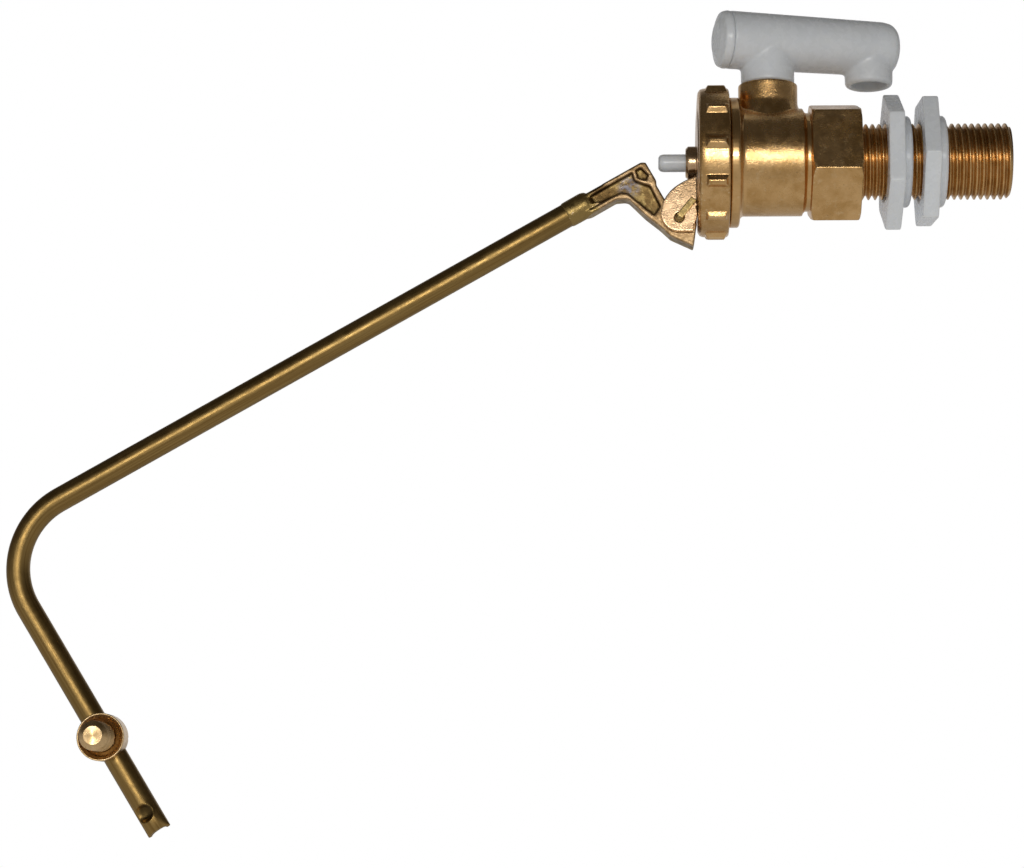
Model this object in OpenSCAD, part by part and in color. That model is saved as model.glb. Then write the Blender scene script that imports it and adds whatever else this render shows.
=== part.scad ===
// Half-inch brass diaphragm float valve with a nylon overhead spout and a bent arm.
// The valve axis is X, the inlet tail ends at the origin and the spout stands up along Z.

/* [Inlet tail] */
// Outside diameter of the inlet thread
thread_d = 20.955; // [16:0.005:28]
// Pitch of the inlet thread
thread_pitch = 1.814; // [1:0.001:2.5]
// Depth of the inlet thread
thread_depth = 1.16; // [0.5:0.01:1.6]
// Width of the flat crest of the thread
thread_crest = 0.3; // [0.1:0.05:0.6]
// Length of the threaded tail
tail_len = 41.1; // [30:0.1:60]
// Chamfer at the end of the tail
tail_chamfer = 1; // [0.3:0.1:1.5]
// Diameter of the water way
inlet_bore_d = 13; // [9:0.1:15]

/* [Valve body] */
// Length of the spanner hexagon
hex_len = 13.7; // [10:0.1:22]
// Hexagon size across the flats
hex_af = 30.4; // [26:0.1:36]
// Length of the narrow neck behind the hexagon
neck_len = 1.5; // [0.5:0.1:4]
// Diameter of the neck
neck_d = 27.2; // [22:0.1:28]
// Length of the plain barrel
barrel_len = 17.9; // [14:0.1:26]
// Diameter of the barrel
barrel_d = 29.7; // [26:0.1:34]
// Width of the collar behind the cap nut
collar_len = 2.7; // [1.5:0.1:5]
// Diameter of the collar
collar_d = 35.9; // [33:0.1:38.5]
// Length of the spigot that carries the cap nut
spigot_len = 3.4; // [2.5:0.1:6]
// Diameter of that spigot
spigot_d = 34.2; // [32:0.1:35.5]
// Diameter of the ring chamber round the seat
chamber_d = 23.6; // [20:0.1:25]
// Depth of the ring chamber from the front face
chamber_len = 19; // [17:0.1:20]
// Outside diameter of the tube that holds the seat
seat_tube_d = 13.6; // [12:0.1:16]

/* [Outlet boss] */
// Distance from the tail end to the axis of the outlet boss
boss_x = 66.1; // [64.5:0.1:68]
// Outside diameter of the boss
boss_d = 16.4; // [15:0.1:20]
// Height of the boss rim above the valve axis
boss_top = 21.8; // [20:0.1:26]
// Bore of the boss
boss_bore_d = 12.5; // [11:0.1:13.5]
// Depth of the boss bore
boss_bore_len = 9; // [8.5:0.1:9.2]
// Width of the water port under the boss
port_d = 8; // [6:0.1:9]

/* [Seat and diaphragm] */
// Outside diameter of the seat nozzle
nozzle_d = 9; // [8:0.1:10]
// Length of the nozzle behind its flange
nozzle_len = 11; // [8:0.1:12]
// Thickness of the nozzle flange
nozzle_flange_t = 1.2; // [1:0.1:2]
// Diameter of the nozzle orifice
orifice_d = 3.2; // [2:0.1:6]
// Wire thickness of the seat ring seal
seat_ring_w = 1.6; // [1:0.1:2]
// Thickness of the diaphragm rim
rim_t = 2; // [1.5:0.1:3]
// Thickness of the diaphragm web
web_t = 1.2; // [0.8:0.1:1.5]
// Diameter of the diaphragm pad
pad_d = 9; // [7:0.1:11]
// Travel of the pad between open and shut
lift = 2.4; // [1.5:0.1:3]

/* [Backplate and cap nut] */
// Thickness of the backplate rim
plate_t = 1.8; // [1.5:0.1:3]
// Diameter of the raised middle of the backplate
plate_mid_d = 29.6; // [26:0.1:31]
// Depth of the recess for the plunger head
head_recess = 1.6; // [1.2:0.1:1.8]
// Projection of the centre boss past the cap nut
guide_len = 3.3; // [2:0.1:6]
// Diameter of the centre boss
guide_d = 9.2; // [8:0.1:12]
// Diameter of the cap nut
cap_d = 41; // [38:0.1:46]
// Thickness of the cap nut lip
cap_lip = 1.6; // [1.2:0.1:3]
// Height of the grip ribs
rib_h = 1.3; // [0.6:0.1:2]
// Width of a grip rib at its foot
rib_w = 3.4; // [2:0.1:5]
// Number of grip ribs
rib_count = 12; // [8:1:16]
// Length of a grip rib
rib_len = 6; // [3:0.1:6.2]

/* [Plunger] */
// Diameter of the plunger stem
plunger_d = 4.9; // [4:0.1:6]
// Projection of the plunger past the centre boss
plunger_out = 7.5; // [6.5:0.1:8]
// Diameter of the plunger head
head_d = 14; // [10:0.1:18]

/* [Ears and pivot] */
// Distance of the pivot in front of the cap nut face
pivot_out = 5.2; // [4.8:0.1:6]
// Depth of the pivot below the valve axis
pivot_drop = 16.5; // [16:0.1:17]
// Thickness of an ear
ear_t = 2.3; // [1.8:0.1:3]
// Radius of the round end of an ear
ear_r = 4.6; // [4:0.1:5]
// Diameter of the split pin
pin_d = 2.6; // [2:0.1:3]
// Length of the turned leg of the pin
pin_leg = 6.4; // [5:0.1:9]

/* [Lever] */
// Thickness of the lever
lever_t = 6.4; // [5:0.1:7]
// Depth of the pocket in each side of the lever
pocket = 1.9; // [0.5:0.1:2.4]
// Width of the rim round the pocket
rim_w = 1.3; // [0.9:0.1:2]
// Angle of the arm below the level
arm_tilt = 29.6; // [28:0.1:31]
// Height of the arm above the pivot, square to the arm
arm_rise = 16.9; // [16:0.1:18]

/* [Arm] */
// Outside diameter of the arm tube
arm_d = 6.7; // [5:0.1:8]
// Inside diameter of the arm tube
arm_bore_d = 4.4; // [3.5:0.1:5.5]
// Distance from the pivot to the corner of the bend, along the arm
arm_len = 208.3; // [120:0.1:260]
// Angle of the bend
bend_angle = 92.2; // [60:0.1:110]
// Radius of the bend on the centre line
bend_r = 21.4; // [15:0.1:30]
// Swelling of the tube in the bend, on the diameter
bend_swell = 0.04; // [0.02:0.01:0.3]
// Length of the drop leg from the corner of the bend
leg_len = 92.9; // [85:0.1:120]
// Distance of the stop dimple from the end
dimple_end = 6; // [5:0.1:10]
// Diameter of the stop dimple
dimple_d = 5; // [3:0.1:5.5]

/* [Float clamp] */
// Distance of the clamp from the corner of the bend
clamp_pos = 63.5; // [55:0.5:70]
// Diameter of the saddle
saddle_d = 12.9; // [11:0.1:16]
// Length of the saddle in front of the tube axis
saddle_front = 6.8; // [6.2:0.1:9]
// Length of the saddle behind the tube axis
saddle_back = 0.4; // [0:0.1:1]
// Diameter of the float stud
stud_d = 7.94; // [6:0.01:8.5]
// Length of the stud past the saddle
stud_len = 11.2; // [9:0.1:20]
// Pitch of the stud thread
stud_pitch = 1.41; // [0.8:0.01:1.5]
// Diameter of the eye round the tube
eye_d = 10.6; // [10:0.1:11]
// Width of the eye
eye_w = 7; // [6:0.1:8]

/* [Spout] */
// Turn of the spout about the boss
spout_turn = 14; // [0:1:30]
// Height of the spout axis above the valve axis
spout_z = 34.4; // [33:0.1:38]
// Diameter of the spout at the plug
spout_d = 16.1; // [15:0.1:18]
// Diameter of the spout at the outlet
spout_end_d = 15.2; // [14.5:0.1:16]
// Distance from the boss axis to the outlet axis
spout_reach = 29.5; // [26:0.1:40]
// Length of the spout past the outlet axis
spout_past = 8.1; // [7:0.1:12]
// Distance from the boss axis to the plug seam
seam_out = 11.4; // [10.5:0.1:14]
// Length of the plug
plug_len = 3.5; // [3:0.1:6]
// Diameter of the inlet leg
riser_d = 14.8; // [14:0.1:16]
// Diameter of the outlet leg
outlet_d = 13.3; // [12.5:0.1:14]
// Height of the outlet mouth above the valve axis
outlet_z = 23.3; // [22:0.1:25]
// Bore of the outlet leg
outlet_bore_d = 9.8; // [8:0.1:10.5]
// Wall of the spout tube
spout_wall = 2.1; // [1.6:0.1:2.4]
// Wire thickness of the spout ring seal
spout_ring_w = 1.4; // [1:0.1:1.6]

/* [Backnuts] */
// Backnut size across the flats
nut_af = 33.4; // [28:0.1:38]
// Thickness of the backnut hexagon
nut_hex_t = 4.4; // [3:0.1:8]
// Thickness of the backnut flange
nut_flange_t = 2.5; // [1:0.1:4]
// Diameter of the backnut flange
nut_flange_d = 25.2; // [24:0.1:30]
// Distance of the outer backnut from the tail end
outer_nut_x = 17.8; // [15:0.1:22]
// Distance of the inner backnut from the tail end
inner_nut_x = 27.4; // [27:0.1:34]

/* [Fits] */
// Radial clearance of running fits
run_gap = 0.06; // [0.03:0.01:0.1]
// Clearance between a lever side and an ear
side_gap = 0.3; // [0.2:0.05:0.5]
// Clearance between neighbouring faces that move past each other
face_gap = 0.3; // [0.2:0.05:0.5]

/* [Hidden] */
$fn = 96;
tiny = 0.01;
brass = [0.80, 0.62, 0.30];
nylon = [0.90, 0.91, 0.90];
rubber = [0.12, 0.12, 0.12];

// stations along the valve axis
hex_x = -tail_len;
neck_x = hex_x - hex_len;
barrel_x = neck_x - neck_len;
collar_x = barrel_x - barrel_len;
spigot_x = collar_x - collar_len;
face_x = spigot_x - spigot_len;
plate_x = face_x - rim_t;
lip_x = plate_x - plate_t;
cap_x = lip_x - cap_lip;
mid_x = cap_x - face_gap;
guide_x = cap_x - guide_len;
tip_x = guide_x - plunger_out;
chamber_x = face_x + chamber_len;
pad_x = face_x + 0.9;
seat_x = pad_x + lift;
flange_x = seat_x + nozzle_flange_t;
pivot = [cap_x - pivot_out, 0, -pivot_drop];
thread_r = thread_d / 2;
root_r = thread_r - thread_depth;
ear_y = lever_t / 2 + side_gap;
head_x = plate_x - head_recess + 0.1;
riser_gap = face_gap;

// a solid of revolution about the valve axis, from [radius, x] points
module turned(points) {
  rotate([0, 90, 0])
    rotate_extrude()
      polygon(points);
}

// a round bar on the valve axis from x1 to x2
module bar(d, x1, x2) {
  translate([x1, 0, 0])
    rotate([0, 90, 0])
      cylinder(h = x2 - x1, d = d);
}

// a hexagonal prism on the valve axis with its corners turned off
module hex_bar(af, x1, x2, turn, chamfer) {
  r = af / 2 / cos(30);
  intersection() {
    translate([x1, 0, 0])
      rotate([0, 90, 0])
        rotate([0, 0, -90 - turn])
          cylinder(h = x2 - x1, r = r, $fn = 6);
    turned([[0, x1], [r - chamfer, x1], [r, x1 + chamfer / 2], [r, x2 - chamfer / 2],
      [r - chamfer, x2], [0, x2]]);
  }
}

// the zigzag outline of a ring-grooved thread, as [radius, x] points
function grooves(r, depth, pitch, crest, x1, x2) = [
  for (x = [x1 : pitch : x2 - pitch]) each [
    [r, x],
    [r, x + crest],
    [r - depth, x + pitch / 2],
    [r - depth, x + pitch / 2 + crest]
  ]
];

// ---- valve body ----
module tail_solid() {
  last = -tail_chamfer - thread_crest;
  turns = floor((tail_len - tail_chamfer - thread_crest) / thread_pitch);
  tail = grooves(thread_r, thread_depth, thread_pitch, thread_crest,
    last - turns * thread_pitch, last + tiny);
  turned(concat([[0, hex_x - tiny], [thread_r, hex_x - tiny]], tail,
    [[thread_r, last], [thread_r, -tail_chamfer], [thread_r - tail_chamfer, 0], [0, 0]]));
}

module barrel_solid() {
  turned([
    [0, neck_x],
    [neck_d / 2, neck_x],
    [neck_d / 2, barrel_x],
    [barrel_d / 2, barrel_x - 0.6],
    [barrel_d / 2, collar_x + 0.8],
    [barrel_d / 2 + 1, collar_x],
    [collar_d / 2 - 0.5, collar_x],
    [collar_d / 2, collar_x - 0.5],
    [collar_d / 2, spigot_x],
    [spigot_d / 2, spigot_x],
    [spigot_d / 2, face_x],
    [0, face_x]
  ]);
}

module boss_solid() {
  translate([-boss_x, 0, 0]) {
    cylinder(h = boss_top, d = boss_d);
    cylinder(h = barrel_d / 2 + 1.4, d1 = boss_d + 8, d2 = boss_d);
  }
}

module valve_body() color(brass) {
  difference() {
    union() {
      tail_solid();
      hex_bar(hex_af, neck_x, hex_x, -18.5, 1.4);
      barrel_solid();
      boss_solid();
    }
    // water way to the partition
    bar(inlet_bore_d, barrel_x, 1);
    // ring chamber with the seat tube left standing
    difference() {
      bar(chamber_d, face_x - 1, chamber_x);
      bar(seat_tube_d, flange_x, chamber_x + 1);
    }
    // nozzle socket with its flange seat, and the way through the partition
    bar(nozzle_d + 2 * run_gap, face_x - 1, flange_x + nozzle_len + face_gap);
    bar(orifice_d * 1.8, flange_x, barrel_x + 1);
    // boss bore and the port down to the ring chamber
    translate([-boss_x, 0, boss_top - boss_bore_len])
      cylinder(h = boss_bore_len + 1, d = boss_bore_d);
    translate([-boss_x, 0, seat_tube_d / 2 + 0.6])
      cylinder(h = boss_top, d = port_d);
  }
}

// ---- seat, diaphragm and plunger ----
module seat_nozzle() color(nylon) {
  back_x = flange_x + nozzle_len;
  groove_x = flange_x + nozzle_len / 2;
  difference() {
    turned([
      [0, seat_x + 0.6],
      [orifice_d / 2 + 0.3, seat_x + 0.6],
      [orifice_d / 2 + 0.5, seat_x],
      [orifice_d / 2 + 1.1, seat_x],
      [orifice_d / 2 + 1.5, seat_x + 0.6],
      [seat_tube_d / 2 - 0.4, seat_x + 0.6],
      [seat_tube_d / 2 - 0.4, flange_x],
      [nozzle_d / 2, flange_x],
      [nozzle_d / 2, groove_x],
      [nozzle_d / 2 - seat_ring_w + 0.15, groove_x],
      [nozzle_d / 2 - seat_ring_w + 0.15, groove_x + seat_ring_w + 0.4],
      [nozzle_d / 2, groove_x + seat_ring_w + 0.4],
      [nozzle_d / 2, back_x - 0.6],
      [nozzle_d / 2 - 0.6, back_x],
      [0, back_x]
    ]);
    bar(orifice_d, seat_x - 1, back_x + 1);
    bar(orifice_d * 1.6, seat_x + 4, back_x + 1);
  }
}

module seat_o_ring() color(rubber) {
  translate([flange_x + nozzle_len / 2 + seat_ring_w / 2 + 0.2, 0, 0])
    rotate([0, 90, 0])
      rotate_extrude()
        translate([nozzle_d / 2 - seat_ring_w / 2 + 0.05, 0])
          circle(d = seat_ring_w - 0.2);
}

module diaphragm() color(rubber) {
  turned([
    [0, plate_x],
    [spigot_d / 2 - 0.4, plate_x],
    [spigot_d / 2 - 0.4, face_x],
    [chamber_d / 2 + 0.4, face_x],
    [chamber_d / 2 + 0.1, plate_x + web_t],
    [pad_d / 2 + 1, plate_x + web_t],
    [pad_d / 2, plate_x + web_t + 0.6],
    [pad_d / 2, pad_x],
    [0, pad_x]
  ]);
}

module plunger() color(nylon) {
  turned([
    [0, tip_x],
    [plunger_d / 2 - 0.9, tip_x],
    [plunger_d / 2 - 0.25, tip_x + 0.45],
    [plunger_d / 2, tip_x + 1.3],
    [plunger_d / 2, head_x],
    [head_d / 2 - 0.3, head_x],
    [head_d / 2, head_x + 0.3],
    [head_d / 2, plate_x - 0.05],
    [0, plate_x - 0.05]
  ]);
}

// ---- backplate with its two ears ----
// the ear outline stands in a frame with its origin on the pivot
module ear_outline() {
  root = -pivot[0] + mid_x + 0.5;
  front = pivot_out - 1.3;
  foot = ear_r - 0.7;
  round_r = ear_r + 0.4;
  lift_up = round_r - foot;
  top = pivot_drop - guide_d / 2;
  translate([round_r - ear_r - 0.4, lift_up])
    circle(r = round_r);
  polygon([
    [-ear_r - 0.3, lift_up + 0.6],
    [-4.3, 4.6],
    [-3.5, 6],
    [-2.4, 7.4],
    [-1.3, 8.4],
    [0, 9.3],
    [1.2, 10],
    [2.6, 10.7],
    [root, top],
    [root, pivot_drop - plate_mid_d / 2 + 1.8],
    [front, pivot_drop - plate_mid_d / 2 + 1.3],
    [front, -foot],
    [0, -foot]
  ]);
}

module ear(y) {
  translate([pivot[0], y + ear_t, pivot[2]])
    rotate([90, 0, 0])
      linear_extrude(ear_t)
        ear_outline();
}

module backplate() color(brass) {
  difference() {
    union() {
      turned([
        [0, mid_x],
        [plate_mid_d / 2 - 0.4, mid_x],
        [plate_mid_d / 2, mid_x + 0.4],
        [plate_mid_d / 2, lip_x],
        [spigot_d / 2, lip_x],
        [spigot_d / 2, plate_x],
        [0, plate_x]
      ]);
      turned([
        [0, guide_x],
        [guide_d / 2 - 0.7, guide_x],
        [guide_d / 2, guide_x + 0.7],
        [guide_d / 2, lip_x],
        [0, lip_x]
      ]);
      ear(-ear_y - ear_t);
      ear(ear_y);
    }
    bar(plunger_d + 2 * run_gap, guide_x - 1, plate_x + 1);
    bar(head_d + 2, plate_x - head_recess, plate_x + 1);
    translate(pivot)
      rotate([90, 0, 0])
        cylinder(h = 4 * ear_y, d = pin_d + 2 * run_gap, center = true);
  }
}

module split_pin() color(brass) {
  out_y = ear_y + ear_t;
  leg_t = 1.1;
  eye_r = 1.9;
  translate(pivot) {
    // shank through both ears
    rotate([90, 0, 0])
      translate([0, 0, -out_y - 0.4])
        cylinder(h = 2 * out_y + 0.6, d = pin_d);
    // short leg end
    translate([0, -out_y - 0.1, 0])
      sphere(d = pin_d - 0.5);
    // long leg turned up along the ear
    translate([0, -out_y - 0.2, 0])
      rotate([0, -51, 0])
        rotate([90, 0, 0])
          linear_extrude(leg_t)
            translate([0, -pin_d * 0.35])
              square([pin_leg, pin_d * 0.7]);
    // eye on the far side
    translate([0, out_y + 0.3 + eye_r + 0.6, 0])
      rotate([0, 90, 0])
        rotate_extrude()
          translate([eye_r, 0])
            circle(d = 1.5);
  }
}

// ---- cap nut ----
module cap_nut() color(brass) {
  rear_x = spigot_x - face_gap;
  bore_r = spigot_d / 2 + 0.1;
  r = cap_d / 2;
  rib_x = cap_x + 1.9;
  difference() {
    union() {
      turned([
        [plate_mid_d / 2 + 0.3, cap_x],
        [r - 1.2, cap_x],
        [r - 0.3, cap_x + 0.6],
        [r, cap_x + 1.6],
        [r, rear_x - 0.4],
        [r - 0.4, rear_x],
        [plate_mid_d / 2 + 0.3, rear_x]
      ]);
      for (i = [0 : rib_count - 1])
        rotate([i * 360 / rib_count - 2.6, 0, 0])
          translate([0, -r, 0])
            cap_rib(rib_x);
    }
    bar(2 * bore_r, lip_x, rear_x + 1);
  }
}

// one grip rib, standing outward along -Y at the nut surface
module cap_rib(x1) {
  foot = rib_w / 2;
  top = rib_w / 2 - 1.1;
  rotate([90, 0, 0])
    translate([0, 0, -0.6])
      intersection() {
        linear_extrude(rib_h + 0.6)
          polygon([[x1, -foot], [x1 + rib_len, -foot], [x1 + rib_len, foot], [x1, foot]]);
        translate([x1, 0, 0])
          rotate([0, 90, 0])
            linear_extrude(rib_len)
              polygon([[0, -foot], [0, foot], [-0.6, foot], [-rib_h - 0.6, top],
                [-rib_h - 0.6, -top], [-0.6, -foot]]);
        rotate([90, 0, 0])
          translate([0, 0, -foot])
            linear_extrude(rib_w)
              polygon([[x1, 0], [x1 + rib_len, 0], [x1 + rib_len, 0.6],
                [x1 + rib_len - 0.7, rib_h + 0.6], [x1 + 0.7, rib_h + 0.6], [x1, 0.6]]);
      }
}

// ---- lever and arm, in a frame on the pivot with the arm along -X ----
module arm_frame() {
  translate(pivot)
    rotate([0, -arm_tilt, 0])
      children();
}

// side outline of the lever; grow moves every edge outward
module lever_outline(grow = 0) {
  top = arm_rise + 2.3 + grow;
  under = arm_rise - 3.6 - grow;
  inner_x = -9.2 - grow;
  face = grow;
  hub = 5.5 + grow;
  polygon([
    [-23 - grow, top],
    [-1.2, top],
    [face, top - 0.7],
    [face, 12.6],
    [face - 0.6, 11.4],
    [face - 0.6, 6.2],
    [3.6 + grow, -1.8],
    [3.75 + grow, -3.3],
    [0.5 + grow, -7.6],
    [-0.4, -8.6 - grow],
    [-4.4 - grow / 2, -3 - grow / 2],
    [-hub, 0.6],
    [-7.4 - grow, 5.3],
    [inner_x, 11.6],
    [inner_x - 0.7, 12.3 - grow],
    [inner_x - 3, under + 0.1],
    [-23 - grow, under]
  ]);
}

// floor outline of the pocket, inside the rim
module pocket_outline() {
  top = arm_rise + 2.3 - rim_w;
  polygon([
    [-17.8, top],
    [-4.6, top],
    [-5.2, 15.6],
    [-3.4, 13.4],
    [-2.2, 12.2],
    [-2.6, 5.7],
    [-5.3, 4.5],
    [-8.7, 13.3],
    [-10, 14.4],
    [-16.3, 15],
    [-19.4, 16.3]
  ]);
}

// small three-sided hollow under the nose, past the cross rib
module nose_outline() {
  top = arm_rise + 2.3 - rim_w;
  polygon([
    [-3.5, top],
    [-1.9, top],
    [-1.1, 15.2],
    [-2.3, 14.1],
    [-4, 15.7]
  ]);
}

module lever() color(brass) {
  half = lever_t / 2;
  shank_r = arm_bore_d / 2 - 0.05;
  arm_frame()
    difference() {
      union() {
        rotate([90, 0, 0])
          linear_extrude(lever_t, center = true)
            lever_outline();
        translate([-23, 0, arm_rise])
          rotate([0, -90, 0])
            cylinder(h = 12, r = shank_r);
      }
      // the flat bar becomes round where the tube starts
      translate([0, 0, arm_rise])
        rotate([0, -90, 0])
          difference() {
            cylinder(h = 24, r = 4 * half);
            translate([0, 0, -1])
              cylinder(h = 26, r = half + 0.35);
            translate([-30, -20, -1])
              cube([30 - 2.3, 40, 26]);
            translate([-20, -20, -1])
              cube([40, 40, 14.5]);
          }
      for (side = [-1, 1])
        translate([0, side * half, 0])
          rotate([90, 0, 0])
            linear_extrude(2 * pocket, center = true) {
              pocket_outline();
              nose_outline();
            }
      rotate([90, 0, 0])
        cylinder(h = 2 * lever_t, d = pin_d + 2 * run_gap, center = true);
    }
}

// centre line of the drop leg: origin on the bend corner, -Z down the leg
module leg_frame() {
  arm_frame()
    translate([-arm_len, 0, arm_rise])
      rotate([0, 90 - bend_angle, 0])
        children();
}

module arm_sweep(d, over = 0) {
  back = bend_r * tan(bend_angle / 2);
  reach = 2 * bend_r;
  arm_frame()
    translate([-arm_len + back, 0, arm_rise]) {
      translate([-tiny, 0, 0])
        rotate([0, 90, 0])
          cylinder(h = arm_len - back - 23 + over + tiny, d = d);
      translate([0, 0, -bend_r])
        rotate([90, 0, 0])
          intersection() {
            rotate_extrude()
              translate([bend_r, 0])
                circle(d = d + bend_swell);
            translate([0, 0, -d])
              linear_extrude(2 * d)
                polygon([
                  [0, 0],
                  [0, reach],
                  [-reach, reach],
                  [-reach, -reach],
                  [-reach * sin(bend_angle), reach * cos(bend_angle)]
                ]);
          }
    }
  leg_frame()
    translate([0, 0, -leg_len - over])
      cylinder(h = leg_len - back + over + tiny, d = d);
}

module arm_tube() color(brass) {
  difference() {
    arm_sweep(arm_d);
    arm_sweep(arm_bore_d, 1);
    // punched stop near the end
    leg_frame()
      translate([-0.9, -arm_d / 2 - 0.5, -leg_len + dimple_end])
        rotate([-90, 0, 0])
          cylinder(h = 2.2, d = dimple_d);
  }
}

// ---- float clamp ----
module clamp_frame() {
  leg_frame()
    translate([0, 0, -clamp_pos])
      children();
}

module clamp_saddle() color(brass) {
  channel = arm_d + 2 * run_gap;
  dish_d = saddle_d - 0.5;
  clamp_frame()
    difference() {
      translate([0, saddle_back, 0])
        rotate([90, 0, 0])
          cylinder(h = saddle_front + saddle_back, d = saddle_d);
      // channel for the tube, open at the back
      cylinder(h = 2 * saddle_d, d = channel, center = true);
      translate([-channel / 2, 0, -saddle_d])
        cube([channel, saddle_d, 2 * saddle_d]);
      // slot for the eye, open at the back
      cylinder(h = eye_w + 0.24, d = eye_d + 0.24, center = true);
      translate([-eye_d / 2 - 0.12, 0, -eye_w / 2 - 0.12])
        cube([eye_d + 0.24, saddle_d, eye_w + 0.24]);
      // stud hole and dished face
      rotate([90, 0, 0])
        cylinder(h = saddle_front + 1, d = stud_d + 2 * run_gap);
      translate([0, -saddle_front, 0])
        rotate([90, 0, 0])
          translate([0, 0, -1.2])
            cylinder(h = 1.3, d1 = stud_d + 0.3, d2 = dish_d);
    }
}

module eye_stud() color(brass) {
  tip = saddle_front + stud_len;
  r = stud_d / 2;
  depth = 0.85;
  neck_r = r - depth;
  first = saddle_front + 0.2;
  clamp_frame()
    difference() {
      union() {
        cylinder(h = eye_w, d = eye_d, center = true);
        rotate([90, 0, 0])
          rotate_extrude()
            polygon(concat(
              [[0, 0], [eye_w / 2 - 0.3, 0], [eye_w / 2 - 0.3, eye_d / 2 - 1],
                [neck_r, eye_d / 2 - 0.6], [neck_r, first - tiny]],
              grooves(r, depth, stud_pitch, 0.25, first, tip - 1.9),
              [[r, tip - 1.7], [r, tip - 1.4], [r - 1.4, tip], [0, tip]]));
      }
      cylinder(h = 2 * eye_d, d = arm_d + 2 * run_gap, center = true);
    }
}

// ---- spout ----
module spout_frame() {
  translate([-boss_x, 0, 0])
    rotate([0, 0, spout_turn])
      children();
}

module spout() color(nylon) {
  bore_d = spout_end_d - 2 * spout_wall;
  end_x = spout_reach + spout_past;
  end_r = spout_end_d / 2;
  spigot_bottom = boss_top - boss_bore_len + face_gap;
  groove_z = boss_top - 4.5;
  spout_frame()
    difference() {
      union() {
        // level tube with a rounded outer end
        translate([0, 0, spout_z])
          rotate([0, 90, 0])
            rotate_extrude()
              polygon([
                [0, -seam_out],
                [spout_d / 2, -seam_out],
                [end_r, end_x - 4.4],
                [end_r - 0.5, end_x - 2.2],
                [end_r - 1.7, end_x - 0.8],
                [end_r - 3.4, end_x - 0.1],
                [0, end_x]
              ]);
        translate([0, 0, boss_top + riser_gap])
          cylinder(h = spout_z - boss_top - riser_gap, d = riser_d);
        translate([spout_reach, 0, outlet_z])
          rotate_extrude()
            polygon([
              [0, 0],
              [outlet_d / 2 - 0.7, 0],
              [outlet_d / 2, 0.7],
              [outlet_d / 2 + 0.1, spout_z - outlet_z],
              [0, spout_z - outlet_z]
            ]);
        // spigot inside the boss
        difference() {
          translate([0, 0, spigot_bottom])
            cylinder(h = boss_top - spigot_bottom + 1, d = boss_bore_d - 2 * run_gap);
          translate([0, 0, groove_z])
            difference() {
              cylinder(h = spout_ring_w + 0.3, d = boss_bore_d + 2);
              translate([0, 0, -1])
                cylinder(h = spout_ring_w + 3, d = boss_bore_d - 2 * spout_ring_w + 0.1);
            }
        }
      }
      // water ways
      translate([-seam_out - 1, 0, spout_z])
        rotate([0, 90, 0])
          cylinder(h = seam_out + spout_reach + 1, d = bore_d);
      translate([0, 0, spigot_bottom - 1])
        cylinder(h = spout_z - spigot_bottom + 1, d = port_d);
      translate([spout_reach, 0, outlet_z - 1])
        cylinder(h = spout_z - outlet_z + 1, d = outlet_bore_d);
    }
}

module spout_plug() color(nylon) {
  r = spout_d / 2;
  bore_d = spout_end_d - 2 * spout_wall;
  spout_frame()
    translate([-seam_out, 0, spout_z])
      rotate([0, 90, 0])
        rotate_extrude()
          polygon([
            [0, 3],
            [bore_d / 2 - 0.05, 3],
            [bore_d / 2 - 0.05, 0],
            [r, 0],
            [r, -1],
            [r - 0.5, -2.4],
            [r - 2, -plug_len + 0.7],
            [r - 3.6, -plug_len],
            [0, -plug_len]
          ]);
}

module spout_o_ring() color(rubber) {
  spout_frame()
    translate([0, 0, boss_top - 4.5 + spout_ring_w / 2 + 0.15])
      rotate_extrude()
        translate([boss_bore_d / 2 - spout_ring_w / 2, 0])
          circle(d = spout_ring_w - 0.2);
}

// ---- backnuts ----
// flange toward the tail end, its outer face at -x
module backnut(x, turn) {
  difference() {
    union() {
      hex_bar(nut_af, -x - nut_flange_t - nut_hex_t, -x - nut_flange_t + tiny, turn, 0.6);
      turned([
        [0, -x - nut_flange_t],
        [nut_flange_d / 2, -x - nut_flange_t],
        [nut_flange_d / 2, -x - 0.6],
        [nut_flange_d / 2 - 0.6, -x],
        [0, -x]
      ]);
    }
    bar(thread_d + 2 * run_gap, -x - 2 * nut_af, -x + 1);
    turned([[0, -x - nut_flange_t - nut_hex_t - tiny],
      [thread_r + 1, -x - nut_flange_t - nut_hex_t - tiny],
      [thread_r, -x - nut_flange_t - nut_hex_t + 1], [0, -x - nut_flange_t - nut_hex_t + 1]]);
  }
}

module inner_backnut() color(nylon) {
  backnut(inner_nut_x, -28.5);
}

module outer_backnut() color(nylon) {
  backnut(outer_nut_x, -5.3);
}

valve_body();
seat_nozzle();
seat_o_ring();
diaphragm();
plunger();
backplate();
cap_nut();
lever();
arm_tube();
split_pin();
clamp_saddle();
eye_stud();
spout();
spout_plug();
spout_o_ring();
inner_backnut();
outer_backnut();
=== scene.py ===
"""Looks of a half-inch brass diaphragm float valve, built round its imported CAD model."""

import math

import bmesh
import bpy
from mathutils import Matrix, Vector

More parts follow.
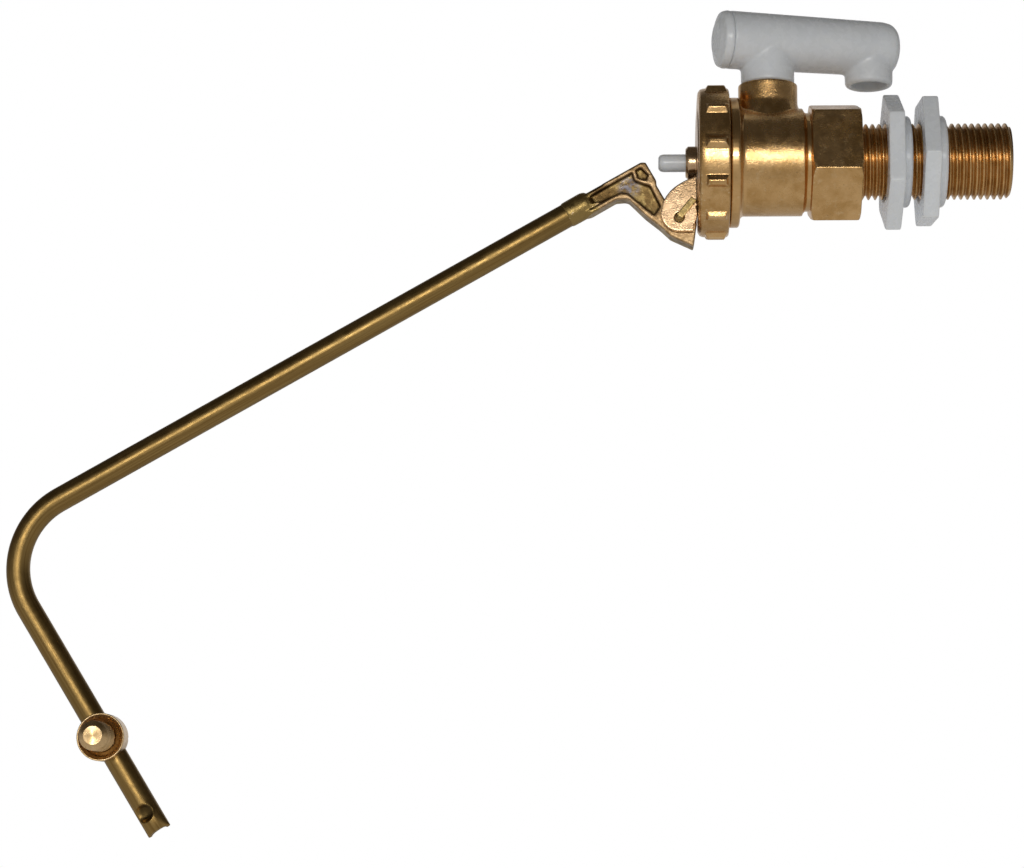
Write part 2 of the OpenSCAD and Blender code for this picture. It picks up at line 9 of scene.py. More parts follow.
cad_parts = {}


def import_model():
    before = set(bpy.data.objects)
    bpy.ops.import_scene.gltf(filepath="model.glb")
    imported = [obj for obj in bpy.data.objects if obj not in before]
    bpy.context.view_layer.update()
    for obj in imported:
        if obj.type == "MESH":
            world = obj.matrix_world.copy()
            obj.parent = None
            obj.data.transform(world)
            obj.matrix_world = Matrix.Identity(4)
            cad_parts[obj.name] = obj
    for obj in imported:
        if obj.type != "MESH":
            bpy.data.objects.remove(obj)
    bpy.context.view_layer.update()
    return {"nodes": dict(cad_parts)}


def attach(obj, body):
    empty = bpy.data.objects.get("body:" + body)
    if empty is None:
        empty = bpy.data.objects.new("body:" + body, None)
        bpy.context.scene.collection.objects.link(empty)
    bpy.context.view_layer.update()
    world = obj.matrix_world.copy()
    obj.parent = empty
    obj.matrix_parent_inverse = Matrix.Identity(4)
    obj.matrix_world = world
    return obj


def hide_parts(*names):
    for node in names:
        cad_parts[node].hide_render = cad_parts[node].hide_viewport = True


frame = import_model()
MM = 0.001

# ---- sizes in millimetres, the same as the solid model's ----
TAIL_LEN = 41.1
THREAD_R = 10.4775
THREAD_PITCH = 1.814
THREAD_DEPTH = 1.16
TAIL_CHAMFER = 1.0
BORE_R = 6.5
BOSS_X = -66.1
BOSS_TOP = 21.8
NECK_X = -54.8
BARREL_X = -56.3
COLLAR_X = -74.2
PIVOT = Vector((-90.9, 0, -16.5))
ARM_TILT = math.radians(29.6)
ARM_RISE = 16.9
ARM_LEN = 208.3
ARM_START = 23.0
BEND = math.radians(92.2)
BEND_R = 21.4
LEG_LEN = 92.9
TUBE_R = 3.35
TUBE_BORE_R = 2.2
DIMPLE_END = 6.0
DIMPLE_R = 2.5
CLAMP_POS = 63.5

# directions in the arm's plane
ALONG_ARM = Vector((-math.cos(ARM_TILT), 0, -math.sin(ARM_TILT)))
OVER_ARM = Vector((-math.sin(ARM_TILT), 0, math.cos(ARM_TILT)))
ALONG_LEG = ALONG_ARM * math.cos(BEND) - OVER_ARM * math.sin(BEND)
CORNER = PIVOT + ALONG_ARM * ARM_LEN + OVER_ARM * ARM_RISE
CLAMP = CORNER + ALONG_LEG * CLAMP_POS        # middle of the float clamp
FRONT = Vector((0, -1, 0))
DIMPLE = CORNER + ALONG_LEG * (LEG_LEN - DIMPLE_END) + FRONT * (TUBE_R - 1.2)    # bottom of the stop
STAIN = PIVOT + Vector((-13.7, 0, 9.6))        # blue-grey patch on the lever's web
# round shank between the tube and the lever's pocket: distance along the arm, radius
SHANK = ((26.2, 0.01), (26.2, 3.4), (25.6, 3.6), (23.0, 3.65), (20.0, 3.65), (18.8, 3.3),
         (18.0, 2.2), (17.7, 0.01))
SHADED_HOLLOW = PIVOT + ALONG_ARM * 14.6 + OVER_ARM * (ARM_RISE + 0.2)    # centre of the painted shade in the hollow beside the shank


# ---- shader helpers ----
class Shader:
    """A principled material and short ways to add nodes to it."""

    def __init__(self, name):
        self.material = bpy.data.materials.new(name)
        self.material.use_nodes = True
        self.tree = self.material.node_tree
        self.bsdf = self.tree.nodes["Principled BSDF"]
        self.position = self.tree.nodes.new("ShaderNodeTexCoord").outputs["Object"]

    def link(self, value, socket):
        """Links an output, or sets a constant, on an input socket."""
        if isinstance(value, bpy.types.NodeSocket):
            self.tree.links.new(value, socket)
        elif isinstance(value, tuple) and len(value) == 3 and socket.type == "RGBA":
            socket.default_value = (*value, 1)
        else:
            socket.default_value = value

    def math(self, kind, a, b=0.0):
        node = self.tree.nodes.new("ShaderNodeMath")
        node.operation = kind
        self.link(a, node.inputs[0])
        self.link(b, node.inputs[1])
        return node.outputs[0]

    def stretched(self, scale, where=None, shift=(0, 0, 0)):
        """The position, scaled and moved, so that a texture runs along one direction or round a place."""
        node = self.tree.nodes.new("ShaderNodeMapping")
        node.vector_type = "POINT"
        self.link(where or self.position, node.inputs["Vector"])
        node.inputs["Location"].default_value = shift
        node.inputs["Scale"].default_value = scale
        return node.outputs[0]

    def noise(self, size_mm, detail=3.0, rough=0.5, where=None, warp=0.0):
        """Noise from 0 to 1 whose patches are about size_mm wide."""
        node = self.tree.nodes.new("ShaderNodeTexNoise")
        self.link(where or self.position, node.inputs["Vector"])
        node.inputs["Scale"].default_value = 1 / (size_mm * MM)
        node.inputs["Detail"].default_value = detail
        node.inputs["Roughness"].default_value = rough
        node.inputs["Distortion"].default_value = warp
        return node.outputs[0]

    def between(self, value, low, high, out_low=0.0, out_high=1.0):
        """Maps value from low..high to out_low..out_high, smoothly and held at the ends."""
        node = self.tree.nodes.new("ShaderNodeMapRange")
        node.interpolation_type = "SMOOTHSTEP"
        for name, number in (("Value", value), ("From Min", low), ("From Max", high),
                             ("To Min", out_low), ("To Max", out_high)):
            self.link(number, node.inputs[name])
        return node.outputs[0]

    def blend(self, amount, a, b):
        """Colour a where amount is 0 and b where it is 1."""
        node = self.tree.nodes.new("ShaderNodeMix")
        node.data_type = "RGBA"
        self.link(amount, node.inputs["Factor"])
        self.link(a, node.inputs[6])
        self.link(b, node.inputs[7])
        return node.outputs[2]

    def part(self):
        """The X, Y and Z of the position, in metres."""
        node = self.tree.nodes.new("ShaderNodeSeparateXYZ")
        self.link(self.position, node.inputs[0])
        return node.outputs

    def band(self, value, low, high, edge):
        """1 where value lies between low and high, falling to 0 over edge."""
        up = self.between(value, low - edge, low)
        down = self.between(value, high, high + edge, 1.0, 0.0)
        return self.math("MULTIPLY", up, down)

    def distance(self, place, axes=(1, 1, 1)):
        """Distance from a place in millimetres, along the axes marked 1, in metres."""
        moved = self.stretched(axes, shift=tuple(-v * MM * a for v, a in zip(place, axes)))
        node = self.tree.nodes.new("ShaderNodeVectorMath")
        node.operation = "LENGTH"
        self.link(moved, node.inputs[0])
        return node.outputs["Value"]

    def edges(self, low=0.5, high=0.6):
        """1 on sharp outward edges of a dense mesh."""
        node = self.tree.nodes.new("ShaderNodeNewGeometry")
        return self.between(node.outputs["Pointiness"], low, high)

    def bump(self, *layers):
        """Bump from (height, millimetres) layers, each over the one before."""
        normal = None
        for height, depth in layers:
            node = self.tree.nodes.new("ShaderNodeBump")
            node.inputs["Strength"].default_value = 1.0
            node.inputs["Distance"].default_value = depth * MM
            self.link(height, node.inputs["Height"])
            if normal:
                self.link(normal, node.inputs["Normal"])
            normal = node.outputs[0]
        self.link(normal, self.bsdf.inputs["Normal"])

    def finish(self, color, rough, metallic=1.0):
        self.link(color, self.bsdf.inputs["Base Color"])
        self.link(rough, self.bsdf.inputs["Roughness"])
        self.bsdf.inputs["Metallic"].default_value = metallic
        return self.material


# ---- materials ----
BRASS = (0.74, 0.475, 0.215)
BRASS_DEEP = (0.54, 0.315, 0.112)
BRASS_PALE = (0.86, 0.66, 0.40)
TARNISH = (0.24, 0.135, 0.05)


def forged_brass(name, grain=0.06, machined=None, base=BRASS, deep=BRASS_DEEP):
    """Hot-stamped brass with a blasted grain; machined lists X bands in mm left with turning rings."""
    s = Shader(name)
    patches = s.noise(9, 4, 0.6, warp=0.4)
    mottle = s.noise(1.6, 5, 0.65)
    specks = s.between(s.noise(0.55, 2, 0.5), 0.66, 0.74)
    color = s.blend(s.between(patches, 0.35, 0.68), base, deep)
    color = s.blend(s.between(mottle, 0.52, 0.75, 0, 0.35), color, BRASS_PALE)
    color = s.blend(s.math("MULTIPLY", specks, 0.45), color, TARNISH)
    # painted highlight: sharp outward edges lightened towards pale brass
    color = s.blend(s.math("MULTIPLY", s.edges(0.52, 0.60), 0.5), color, BRASS_PALE)
    # painted shade: concave creases darkened towards the tarnish colour
    hollow_shade = s.between(s.edges(0.0, 1.0), 0.38, 0.47, 0.75, 0.0)
    color = s.blend(hollow_shade, color, TARNISH)
    rough = s.between(s.noise(2.5, 4, 0.6), 0.3, 0.7, 0.2, 0.3)
    blast = s.noise(0.38, 2, 0.6)
    cast = s.noise(3.5, 3, 0.5)
    if machined:
        x = s.part()[0]
        turned = 0.0
        for low, high in machined:
            turned = s.math("MAXIMUM", s.band(x, low * MM, high * MM, 0.15 * MM), turned)
        rings = s.noise(0.22, 2, 0.6, s.stretched((1, 0.004, 0.004)))
        color = s.blend(s.math("MULTIPLY", turned, 0.45), color, BRASS)
        rough = s.blend(turned, rough, (0.24, 0.24, 0.24))
        smooth_cast = s.math("MULTIPLY", s.math("SUBTRACT", 1.0, turned), blast)
        s.bump((cast, 0.05), (smooth_cast, grain), (s.math("MULTIPLY", rings, turned), 0.02))
    else:
        s.bump((cast, 0.05), (blast, grain))
    return s.finish(color, rough)


def thread_brass():
    """Cut brass thread: clean and bright, a little darker in the grooves."""
    s = Shader("thread_brass")
    radius = s.distance((0, 0, 0), (0, 1, 1))
    groove = s.between(radius, 9.35 * MM, 10.2 * MM, 1.0, 0.0)
    patches = s.noise(6, 4, 0.6)
    color = s.blend(s.between(patches, 0.35, 0.7), BRASS, BRASS_DEEP)
    color = s.blend(s.math("MULTIPLY", groove, 0.3), color, TARNISH)
    s.bump((s.noise(1.4, 2, 0.5), 0.015))
    rough = s.between(s.noise(1.2, 3), 0.3, 0.7, 0.26, 0.36)
    return s.finish(color, rough)


def stained_brass():
    """The lever: tan blasted rim, olive-brown pocket with painted shade along its inner edges and in the
    hollow by the shank, painted highlights on its outer edges, and one blue-grey heat stain.
    """
    s = Shader("stained_brass")
    rim_light, rim_dark = (0.50, 0.34, 0.18), (0.32, 0.205, 0.095)
    olive_light, olive_dark = (0.36, 0.255, 0.10), (0.19, 0.12, 0.045)
    blue_grey, edge_highlight, speck = (0.22, 0.22, 0.26), (0.72, 0.55, 0.36), (0.10, 0.06, 0.03)
    shank_olive, hollow_shade_brown, corner_shade_brown = (0.36, 0.25, 0.09), (0.12, 0.07, 0.025), (0.10, 0.055, 0.02)
    depth = s.math("ABSOLUTE", s.part()[1])
    web = s.between(depth, 1.7 * MM, 2.9 * MM, 1.0, 0.0)
    patches = s.noise(3.5, 4, 0.6, warp=0.6)
    rim = s.blend(s.between(patches, 0.4, 0.65), rim_light, rim_dark)
    clouds = s.noise(2.6, 3, 0.5, warp=0.5)
    olive = s.blend(s.between(clouds, 0.4, 0.6), olive_light, olive_dark)
    bruise = s.between(s.distance(STAIN, (1, 0, 1)), 1.0 * MM, 4.2 * MM, 0.85, 0.0)
    speckle = s.between(s.noise(1.3, 4, 0.65), 0.38, 0.6)
    olive = s.blend(s.math("MULTIPLY", bruise, speckle), olive, blue_grey)
    color = s.blend(web, rim, olive)
    along = s.tree.nodes.new("ShaderNodeVectorMath")
    along.operation = "DOT_PRODUCT"
    s.link(s.stretched((1, 1, 1), shift=tuple(-v * MM for v in PIVOT)), along.inputs[0])
    along.inputs[1].default_value = ALONG_ARM
    drawn = s.between(along.outputs["Value"], 16.6 * MM, 18.4 * MM)
    color = s.blend(drawn, color, shank_olive)
    # painted shade: a dark brown spot in the hollow beside the shank
    hollow_shade = s.between(s.distance(SHADED_HOLLOW, (1, 0, 1)), 1.6 * MM, 3.6 * MM, 0.85, 0.0)
    color = s.blend(hollow_shade, color, hollow_shade_brown)
    # painted shade: concave corners and pocket edges darkened to brown
    color = s.blend(s.edges(0.40, 0.485), corner_shade_brown, color)
    # painted highlight: sharp outward edges lightened to pale tan
    color = s.blend(s.math("MULTIPLY", s.edges(0.52, 0.6), 0.7), color, edge_highlight)
    specks = s.between(s.noise(0.5, 3, 0.6), 0.62, 0.72, 0, 0.5)
    color = s.blend(specks, color, speck)
    s.bump((s.noise(1.8, 3), 0.12), (s.noise(0.35, 3, 0.7), 0.05))
    rough = s.between(s.noise(1.1, 3), 0.3, 0.7, 0.3, 0.46)
    return s.finish(color, rough)


def drawn_brass():
    """The arm: dull drawn tube with lengthwise streaks, stains and scuffs, and painted shade in the punched
    stop.
    """
    s = Shader("drawn_brass")
    tan, olive, stain = (0.34, 0.225, 0.08), (0.24, 0.145, 0.045), (0.22, 0.145, 0.05)
    scuff, dimple_shade_dark = (0.14, 0.08, 0.03), (0.075, 0.05, 0.018)
    sweep = s.tree.nodes.new("ShaderNodeUVMap").outputs[0]
    streaks = s.noise(0.5, 4, 0.6, s.stretched((0.012, 1, 1), sweep))
    fine = s.noise(0.12, 3, 0.6, s.stretched((0.01, 1, 1), sweep))
    patches = s.noise(26, 5, 0.6, warp=0.5)
    color = s.blend(s.between(streaks, 0.35, 0.65), tan, olive)
    color = s.blend(s.between(patches, 0.5, 0.72, 0, 0.6), color, stain)
    scuffs = s.between(s.noise(0.9, 5, 0.7), 0.64, 0.72, 0, 0.5)
    color = s.blend(scuffs, color, scuff)
    # painted shade: the hollow of the punched stop darkened
    punched = s.between(s.distance(DIMPLE), 1.8 * MM, 2.6 * MM, 0.9, 0.0)
    color = s.blend(punched, color, dimple_shade_dark)
    dents = s.noise(5, 3, 0.5)
    s.bump((dents, 0.10), (streaks, 0.010), (fine, 0.006))
    rough = s.between(s.noise(3, 4, 0.6), 0.3, 0.7, 0.3, 0.42)
    return s.finish(color, rough)


def turned_brass():
    """The clamp: bright turned brass with rings round the stud's axis."""
    s = Shader("turned_brass")
    bright, dull = (0.72, 0.51, 0.27), (0.52, 0.35, 0.16)
    radius = s.distance(CLAMP, (1, 0, 1))
    rings = s.noise(0.3, 2, 0.6, radius)
    s.bsdf.inputs["Anisotropic"].default_value = 0.9
    spin = s.tree.nodes.new("ShaderNodeVectorMath")
    spin.operation = "CROSS_PRODUCT"
    s.link(s.stretched((1, 0, 1), shift=(-CLAMP.x * MM, 0, -CLAMP.z * MM)), spin.inputs[0])
    spin.inputs[1].default_value = (0, 1, 0)
    s.link(spin.outputs[0], s.bsdf.inputs["Tangent"])
    patches = s.noise(3, 4, 0.6)
    color = s.blend(s.between(patches, 0.4, 0.7), bright, dull)
    # painted highlight: sharp outward edges lightened towards pale brass
    color = s.blend(s.math("MULTIPLY", s.edges(0.53, 0.62), 0.35), color, BRASS_PALE)
    color = s.blend(s.between(s.noise(0.5, 3), 0.62, 0.72, 0, 0.5), color, TARNISH)
    s.bump((s.noise(1.5, 2), 0.02), (rings, 0.006))
    rough = s.between(s.noise(0.9, 3), 0.3, 0.7, 0.26, 0.36)
    return s.finish(color, rough)


def nylon():
    """Natural white nylon: milky, faintly wavy, with handling marks."""
    s = Shader("white_nylon")
    clear, milky, handled = (0.80, 0.84, 0.88), (0.77, 0.81, 0.85), (0.55, 0.54, 0.50)
    cloud = s.noise(11, 3, 0.5)
    color = s.blend(s.between(cloud, 0.35, 0.7), clear, milky)
    marks = s.between(s.noise(0.7, 4, 0.65, warp=0.3), 0.67, 0.75, 0, 0.25)
    color = s.blend(marks, color, handled)
    s.bump((s.noise(5, 2), 0.05))
    rough = s.between(s.noise(2, 3), 0.3, 0.7, 0.22, 0.32)
    s.bsdf.inputs["Subsurface Weight"].default_value = 0.5
    s.bsdf.inputs["Subsurface Radius"].default_value = (1, 0.95, 0.85)
    s.bsdf.inputs["Subsurface Scale"].default_value = 4 * MM
    s.bsdf.inputs["IOR"].default_value = 1.5
    return s.finish(color, rough, 0.0)


def rubber():
    """Matt black rubber with moulding dust."""
    s = Shader("black_rubber")
    black, dusty = (0.025, 0.025, 0.027), (0.12, 0.115, 0.11)
    dust = s.between(s.noise(0.8, 5, 0.7), 0.5, 0.75, 0, 0.4)
    color = s.blend(dust, black, dusty)
    s.bump((s.noise(0.3, 3), 0.02))
    return s.finish(color, s.between(s.noise(1.5), 0.3, 0.7, 0.6, 0.8), 0.0)


# ---- meshes ----
def linked(name, mesh):
    obj = bpy.data.objects.new(name, mesh)
    bpy.context.scene.collection.objects.link(obj)
    return obj


def baked(obj):
    """Turns the modifiers of obj into its mesh and shades it smooth."""
    bpy.context.view_layer.update()
    evaluated = obj.evaluated_get(bpy.context.evaluated_depsgraph_get())
    mesh = bpy.data.meshes.new_from_object(evaluated)
    obj.modifiers.clear()
    obj.data = mesh
    for face in mesh.polygons:
        face.use_smooth = True
    return obj


def dressed(obj, body, slot, material, *nodes):
    obj.data.materials.clear()
    obj.data.materials.append(material)
    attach(obj, body)
    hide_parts(*nodes)
    return obj


def box_mesh(low, high):
    """A closed box between two corners, in millimetres."""
    bm = bmesh.new()
    corners = [[bm.verts.new((x * MM, y * MM, z * MM)) for z in (low[2], high[2])]
               for x in (low[0], high[0]) for y in (low[1], high[1])]
    (a, e), (b, f), (d, h), (c, g) = corners
    for loop in ((a, b, c, d), (e, h, g, f), (a, e, f, b), (b, f, g, c), (c, g, h, d), (d, h, e, a)):
        bm.faces.new(loop)
    bmesh.ops.recalc_face_normals(bm, faces=bm.faces)
    mesh = bpy.data.meshes.new("box")
    bm.to_mesh(mesh)
    bm.free()
    return mesh


def softened(node, voxel, passes, keep=None, grown=None):
    """A CAD solid with its edges rounded as on a casting or moulding: fine remesh, then smoothing."""
    mesh = frame["nodes"][node].data.copy()
    bm = bmesh.new()
    bm.from_mesh(mesh)
    if grown:
        bm.from_mesh(grown)
    bmesh.ops.remove_doubles(bm, verts=bm.verts, dist=0.0005 * MM)
    bm.to_mesh(mesh)
    bm.free()
    obj = linked(node + "_piece", mesh)
    if keep:
        cutter = linked("cutter", box_mesh(*keep))
        cut = obj.modifiers.new("cut", "BOOLEAN")
        cut.operation = "INTERSECT"
        cut.solver = "EXACT"
        cut.object = cutter
        baked(obj)
        bpy.data.objects.remove(cutter)
    remesh = obj.modifiers.new("remesh", "REMESH")
    remesh.mode = "VOXEL"
    remesh.voxel_size = voxel * MM
    smooth = obj.modifiers.new("smooth", "SMOOTH")
    smooth.factor = 0.5
    smooth.iterations = passes
    return baked(obj)


def grid_mesh(name, rows, uv=None):
    """A mesh through rings of points in millimetres; each ring is closed, and the last joins the first."""
    count = len(rows[0])
    verts = [tuple(Vector(p) * MM) for row in rows for p in row]
    faces, coords = [], []
    total = len(rows)
    for i in range(total):
        k = (i + 1) % total
        for j in range(count):
            n = (j + 1) % count
            faces.append((i * count + j, i * count + n, k * count + n, k * count + j))
            if uv:
                after = i + 1 if k else i
                coords += [uv(i, j), uv(i, j + 1), uv(after, j + 1), uv(after, j)]
    mesh = bpy.data.meshes.new(name)
    mesh.from_pydata(verts, [], faces)
    if uv:
        layer = mesh.uv_layers.new(name="sweep")
        for loop, co in zip(layer.data, coords):
            loop.uv = co
    bm = bmesh.new()
    bm.from_mesh(mesh)
    bmesh.ops.recalc_face_normals(bm, faces=bm.faces)
    bm.to_mesh(mesh)
    bm.free()
    for face in mesh.polygons:
        face.use_smooth = True
    return linked(name, mesh)


def crest(phase):
    """Height from 0 to 1 of a rounded 55 degree thread at a phase from 0 to 1."""
    flat, flank = 0.16, 0.68
    ramp = abs((phase % 1.0) * 2 - 1)
    return min(1.0, max(0.0, (ramp - flat) / flank))


def tail_thread():
    """The inlet tail with a real right-handed pipe thread, from inside the hexagon to the end face."""
    around, per_pitch = 120, 14
    inside, runout = 0.9, 0.3       # start hidden in the hexagon, and the plain root beside it
    mouth_r, mouth_depth = 7.0, 0.5
    root_r = THREAD_R - THREAD_DEPTH
    start = -TAIL_LEN - inside
    rows = []
    stations = int(-start * per_pitch / THREAD_PITCH)
    for i in range(stations + 1):
        x = start * (1 - i / stations)
        ring = []
        for j in range(around):
            turn = math.tau * j / around
            r = root_r + THREAD_DEPTH * crest(x / THREAD_PITCH - turn / math.tau)
            r = min(r, THREAD_R - TAIL_CHAMFER * max(0.0, 1 + x / TAIL_CHAMFER))
            if x < -TAIL_LEN + runout:
                r = root_r
            ring.append((x, r * math.cos(turn), r * math.sin(turn)))
        rows.append(ring)
    for x, r in ((0, mouth_r), (-mouth_depth, BORE_R), (start, BORE_R)):
        rows.append([(x, r * math.cos(math.tau * j / around), r * math.sin(math.tau * j / around))
                     for j in range(around)])
    return grid_mesh("tail_thread", rows)


def eased(obj):
    """The spout with its spigot drawn in a little, so that it turns freely inside the boss."""
    inner_r, ease = 5, 0.2
    axis = Vector((BOSS_X, 0, 0))
    for vert in obj.data.vertices:
        out = vert.co / MM - axis
        height, out.z = out.z, 0
        if height < BOSS_TOP and out.length > inner_r:
            vert.co -= out.normalized() * ease * MM
    return obj


def shank():
    """A solid round taper on the arm's axis that carries the lever into the tube."""
    around = 48
    rows = []
    for along, r in SHANK:
        middle = PIVOT + ALONG_ARM * along + OVER_ARM * ARM_RISE
        turns = [math.tau * j / around for j in range(around)]
        rows.append([middle + (OVER_ARM * math.cos(t) + FRONT * math.sin(t)) * r for t in turns])
    obj = grid_mesh("shank", rows)
    mesh = obj.data
    bpy.data.objects.remove(obj)
    return mesh


def slimmed(obj):
    """The lever with its tube end drawn in, by a cone, to the round shank."""
    shank_r, cone_end, cone_slope, cone_start = 3.62, 21.5, 0.5, 15
    for vert in obj.data.vertices:
        place = vert.co / MM - PIVOT
        along = place.dot(ALONG_ARM)
        out = place - ALONG_ARM * along - OVER_ARM * ARM_RISE
        limit = shank_r + cone_slope * max(0.0, cone_end - along)
        if along > cone_start and out.length > limit:
            vert.co += out * (limit / out.length - 1) * MM
    return obj


def arm_stations():
    """Centre points of the arm with their direction and distance along the tube."""
    back = BEND_R * math.tan(BEND / 2)
    first = ARM_LEN - back - ARM_START
    bend = BEND_R * BEND
    last = LEG_LEN - back
    start = CORNER - ALONG_ARM * (ARM_LEN - ARM_START)
    centre = CORNER - ALONG_ARM * back - OVER_ARM * BEND_R
    end = 14        # the end with the punched stop, cut finer
    cuts = [first * i / 60 for i in range(60)]
    cuts += [first + bend * i / 48 for i in range(48)]
    cuts += [first + bend + (last - end) * i / 24 for i in range(24)]
    cuts += [first + bend + last - end + end * i / 70 for i in range(71)]
    stations = []
    for s in cuts:
        if s < first:
            stations.append((start + ALONG_ARM * s, ALONG_ARM, s))
        elif s < first + bend:
            a = (s - first) / BEND_R
            out = OVER_ARM * math.cos(a) + ALONG_ARM * math.sin(a)
            along = ALONG_ARM * math.cos(a) - OVER_ARM * math.sin(a)
            stations.append((centre + out * BEND_R, along, s))
        else:
            down = s - first - bend + back
            stations.append((CORNER + ALONG_LEG * down, ALONG_LEG, s))
    return stations, first, bend, first + bend + last


def arm_tube():
    """The bent arm, a little flattened in the bend, with a punched stop and a nipped end."""
    around = 72
    flattening = 0.035                  # share of the height lost in the middle of the bend
    dent_depth, dent_up = 1.9, 0.9      # the punched stop, a little to one side
    nip_depth, nip_reach = 1.6, 2.0     # the end pressed in from the front
    pull, pull_front, pull_reach = 0.6, 0.1, 1.2    # how far the nip draws the end face back
    edge = 0.15                         # the end face's rounded lip
    stations, first, bend, total = arm_stations()

    def ring(point, along, s, r):
        side = Vector((-along.z, 0, along.x))
        in_bend = math.sin(math.pi * min(1, max(0, (s - first) / bend)))
        flat = 1 - flattening * in_bend
        places = []
        for j in range(around):
            turn = math.tau * j / around
            across, out = r * math.cos(turn) * flat, r * math.sin(turn)
            from_end = total - s
            d = math.hypot(from_end - DIMPLE_END, across + dent_up)
            dent = dent_depth * (1 - min(1, d / DIMPLE_R) ** 3) if out > 0 else 0
            nip = nip_depth * math.exp(-from_end / nip_reach) * max(0, out / r)
            back = (pull - pull_front * out / r) * abs(out / r) * math.exp(-from_end / pull_reach)
            places.append(point + side * across + FRONT * (out - dent * out / r - nip) - along * back)
        return places

    outer = [ring(p, a, s, TUBE_R) for p, a, s in stations]
    lip = [ring(stations[-1][0] + ALONG_LEG * edge, ALONG_LEG, total + edge, r)
           for r in (TUBE_R - 0.25, TUBE_BORE_R + 0.2)]
    inner = [ring(p, a, s, TUBE_BORE_R) for p, a, s in reversed(stations)]
    rows = outer + lip + inner
    lengths = [s for _, _, s in stations] + [total, total] + [s for _, _, s in reversed(stations)]
    lengths.append(lengths[0])
    return grid_mesh("arm_tube_piece", rows,
                     uv=lambda i, j: (lengths[i] * MM, math.tau * TUBE_R * j / around * MM))


# ---- the object ----
def build_valve():
    body = forged_brass("forged_brass", machined=((NECK_X - 0.2, NECK_X + 0.2), (BARREL_X - 0.6, NECK_X),
                                                  (COLLAR_X - 9.0, COLLAR_X + 1.5)))
    nut = forged_brass("forged_brass_nut", 0.05)
    plate = forged_brass("forged_brass_plate", 0.035, base=(0.72, 0.50, 0.30), deep=(0.56, 0.37, 0.20))
    behind_thread = ((-90, -30, -30), (-TAIL_LEN - 0.05, 30, 30))
    dressed(softened("valve_body", 0.24, 5, behind_thread), "valve", "forged_brass", body, "valve_body")
    dressed(tail_thread(), "valve", "forged_brass", thread_brass(), "valve_body")
    dressed(softened("cap_nut", 0.2, 5), "valve", "forged_brass", nut, "cap_nut")
    dressed(softened("backplate", 0.16, 4), "valve", "forged_brass", plate, "backplate")


def build_arm():
    lever = slimmed(softened("lever", 0.14, 45, grown=shank()))
    dressed(lever, "arm", "stained_brass", stained_brass(), "lever")
    dressed(arm_tube(), "arm", "drawn_brass", drawn_brass(), "arm_tube")


def build_pin():
    brass = forged_brass("pin_brass", 0.02, base=(0.46, 0.33, 0.13), deep=(0.30, 0.20, 0.07))
    dressed(softened("split_pin", 0.09, 3), "valve", "drawn_brass", brass, "split_pin")


def build_clamp():
    brass = turned_brass()
    dressed(softened("clamp_saddle", 0.11, 9), "float_clamp", "turned_brass", brass, "clamp_saddle")
    dressed(softened("eye_stud", 0.09, 4), "float_clamp", "turned_brass", brass, "eye_stud")


def build_plastics():
    white = nylon()
    dressed(eased(softened("spout", 0.28, 26)), "spout", "white_nylon", white, "spout")
    dressed(softened("spout_plug", 0.18, 24), "spout", "white_nylon", white, "spout_plug")
    dressed(softened("inner_backnut", 0.2, 9), "inner_nut", "white_nylon", white, "inner_backnut")
    dressed(softened("outer_backnut", 0.2, 9), "outer_nut", "white_nylon", white, "outer_backnut")
    dressed(softened("plunger", 0.12, 4), "plunger", "white_nylon", white, "plunger")
    return white


def dress_hidden(white):
    """The parts inside the body keep their CAD shape and get the same finishes."""
    black = rubber()
    for node, material in (("seat_nozzle", white), ("seat_o_ring", black), ("diaphragm", black),
                           ("spout_o_ring", black)):
        mesh = frame["nodes"][node].data
        mesh.materials.clear()
        mesh.materials.append(material)


# ---- camera, floor and lights ----
def aim(obj, direction, roll=0.0):
    """Turns an object so that its -Z looks along direction, with Z kept up."""
    turn = direction.to_track_quat("-Z", "Y").to_matrix().to_4x4()
    obj.matrix_world = Matrix.Translation(obj.location) @ turn @ Matrix.Rotation(roll, 4, "Z")


def camera():
    """The viewpoint: a little under the valve, looking up at it from 0.76 m."""
    distance = 760 * MM
    up, side, roll = math.radians(8.3), math.radians(-2.2), math.radians(0.21)
    target = Vector((-136.8, 0, -75.7)) * MM
    view = Vector((math.sin(side) * math.cos(up), math.cos(side) * math.cos(up), math.sin(up)))
    data = bpy.data.cameras.new("camera")
    data.sensor_width = 36
    data.lens = 97.63
    cam = bpy.data.objects.new("camera", data)
    bpy.context.scene.collection.objects.link(cam)
    cam.location = target - view * distance
    bpy.context.view_layer.update()
    aim(cam, view, roll)
    bpy.context.scene.camera = cam


def floor():
    """A pale round light table well below the part, softly lit from inside."""
    s = Shader("floor")
    color = s.blend(s.noise(120, 3), (0.78, 0.77, 0.75), (0.82, 0.81, 0.79))
    s.bsdf.inputs["Emission Color"].default_value = (1, 0.975, 0.94, 1)
    s.bsdf.inputs["Emission Strength"].default_value = 0.3
    material = s.finish(color, 0.8, 0.0)
    bm = bmesh.new()
    bmesh.ops.create_circle(bm, cap_ends=True, segments=96, radius=1.5)
    mesh = bpy.data.meshes.new("floor")
    bm.to_mesh(mesh)
    bm.free()
    mesh.materials.append(material)
    disc = linked("floor", mesh)
    disc.location = (-0.1, 0, -0.24)


def area_light(name, place, target, size, power, color):
    """A rectangular light, in metres and watts, that the camera doesn't see."""
    data = bpy.data.lights.new(name, "AREA")
    data.shape = "RECTANGLE"
    data.size, data.size_y = size
    data.energy = power
    data.color = color
    lamp = bpy.data.objects.new(name, data)
    bpy.context.scene.collection.objects.link(lamp)
    lamp.location = place
    lamp.visible_camera = False
    bpy.context.view_layer.update()
    aim(lamp, Vector(target) - Vector(place))


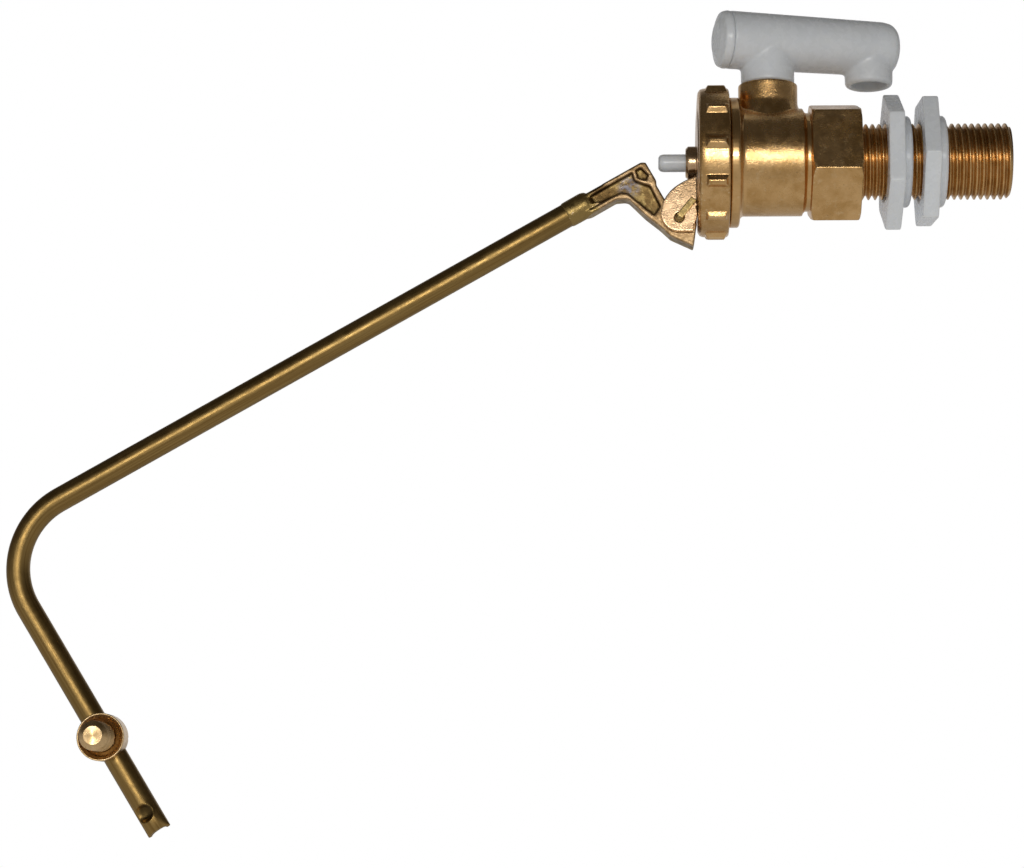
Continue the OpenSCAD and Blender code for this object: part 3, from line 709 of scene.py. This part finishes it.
def world():
    """Plain white for the camera; for light and reflections a dim room with white paper behind the part."""
    w = bpy.data.worlds.new("world")
    bpy.context.scene.world = w
    w.use_nodes = True
    tree = w.node_tree
    room = tree.nodes["Background"]
    white = tree.nodes.new("ShaderNodeBackground")
    white.inputs["Color"].default_value = (1, 1, 1, 1)
    direction = tree.nodes.new("ShaderNodeTexCoord")
    split = tree.nodes.new("ShaderNodeSeparateXYZ")
    tree.links.new(direction.outputs["Generated"], split.inputs[0])
    shift = tree.nodes.new("ShaderNodeMapRange")
    shift.inputs["From Min"].default_value = -1
    tree.links.new(split.outputs["Z"], shift.inputs["Value"])
    ramp = tree.nodes.new("ShaderNodeValToRGB")
    tree.links.new(shift.outputs[0], ramp.inputs[0])
    # brightness of the room by height, from 0 straight below to 1 straight above
    stops = ((0.0, (0.52, 0.50, 0.48)), (0.3, (0.34, 0.32, 0.30)), (0.5, (0.34, 0.33, 0.31)),
             (0.62, (0.12, 0.11, 0.10)), (0.8, (0.05, 0.045, 0.04)), (1.0, (0.07, 0.065, 0.06)))
    points = ramp.color_ramp.elements
    while len(points) < len(stops):
        points.new(0.5)
    for point, (place, color) in zip(points, stops):
        point.position = place
        point.color = (*color, 1)
    paper_color = (0.62, 0.62, 0.63, 1)
    paper = tree.nodes.new("ShaderNodeMapRange")
    paper.interpolation_type = "SMOOTHSTEP"
    paper.inputs["From Min"].default_value = 0.55
    paper.inputs["From Max"].default_value = 0.95
    tree.links.new(split.outputs["Y"], paper.inputs["Value"])
    lit = tree.nodes.new("ShaderNodeMix")
    lit.data_type = "RGBA"
    tree.links.new(paper.outputs[0], lit.inputs["Factor"])
    tree.links.new(ramp.outputs[0], lit.inputs[6])
    lit.inputs[7].default_value = paper_color
    tree.links.new(lit.outputs[2], room.inputs["Color"])
    path = tree.nodes.new("ShaderNodeLightPath")
    mix = tree.nodes.new("ShaderNodeMixShader")
    tree.links.new(path.outputs["Is Camera Ray"], mix.inputs[0])
    tree.links.new(room.outputs[0], mix.inputs[1])
    tree.links.new(white.outputs[0], mix.inputs[2])
    tree.links.new(mix.outputs[0], tree.nodes["World Output"].inputs["Surface"])


def lights():
    """A long low softbox with a brighter core in front, and a faint warm fill from below."""
    valve, arm = (-0.08, 0, 0), (-0.13, 0, 0)
    white, warm = (1, 0.985, 0.96), (1, 0.95, 0.9)
    area_light("softbox", (-0.4, -4.0, 0.1), valve, size=(4.4, 0.5), power=30, color=white)
    area_light("core", (-0.1, -4.0, 0.09), valve, size=(1.2, 0.12), power=19, color=white)
    area_light("low_fill", (-0.13, -0.03, -0.225), arm, size=(0.7, 0.3), power=0.06, color=warm)


build_valve()
build_arm()
build_pin()
build_clamp()
dress_hidden(build_plastics())
floor()
world()
lights()
camera()
bpy.context.scene.view_settings.view_transform = "Standard"
